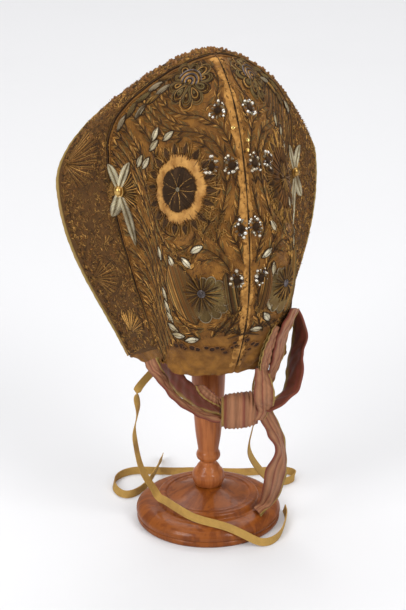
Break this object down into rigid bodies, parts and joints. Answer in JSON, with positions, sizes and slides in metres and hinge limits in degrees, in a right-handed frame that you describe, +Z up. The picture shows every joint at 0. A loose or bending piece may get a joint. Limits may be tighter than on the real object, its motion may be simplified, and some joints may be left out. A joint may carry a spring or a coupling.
{
  "type": "embroidered bonnet on a turned wooden stand",
  "caption": "Close-fitting embroidered fabric bonnet with ribbon ties and narrow tapes, held upright on a turned wooden stand with a round foot.",
  "frame": {"origin": "centre of the stand's round underside, which stands on a level surface", "axes": "+Z up along the stand's column; +Y away from the bonnet's back, with the bonnet turned 20 degrees about +Z from it, so that its face opening looks along +Y and a little to -X"},
  "size_m": [0.1954, 0.1787, 0.373],
  "materials": {
    "silk": "worn orange-tan silk under metal-thread embroidery",
    "embroidery": "dense tarnished gilt-thread embroidery",
    "binding": "matt pale yellow tape",
    "brass": "dull gilt",
    "ribbon": "striped silk, dusty pink with ochre edges",
    "tape": "matt ochre tape",
    "wood": "turned red-brown wood, varnished"
  },
  "bodies": {
    "root": {"back_left": "silk", "back_right": "silk", "front_band": "embroidery", "face_binding": "binding", "corner_left": "silk", "corner_right": "silk", "boss_left": "brass", "boss_right": "brass", "tie_left_outer": "ribbon", "tie_left_inner": "ribbon", "tie_left_fold": "ribbon", "knot": "ribbon", "knot_turn": "ribbon", "tie_right_inner": "ribbon", "tie_right_front": "ribbon", "tie_right_outer": "ribbon", "ribbon_tail": "ribbon", "tape_left": "tape", "tape_right": "tape", "stand_foot": "wood", "stand_column": "wood", "stand_head": "wood"}
  },
  "joints": []
}
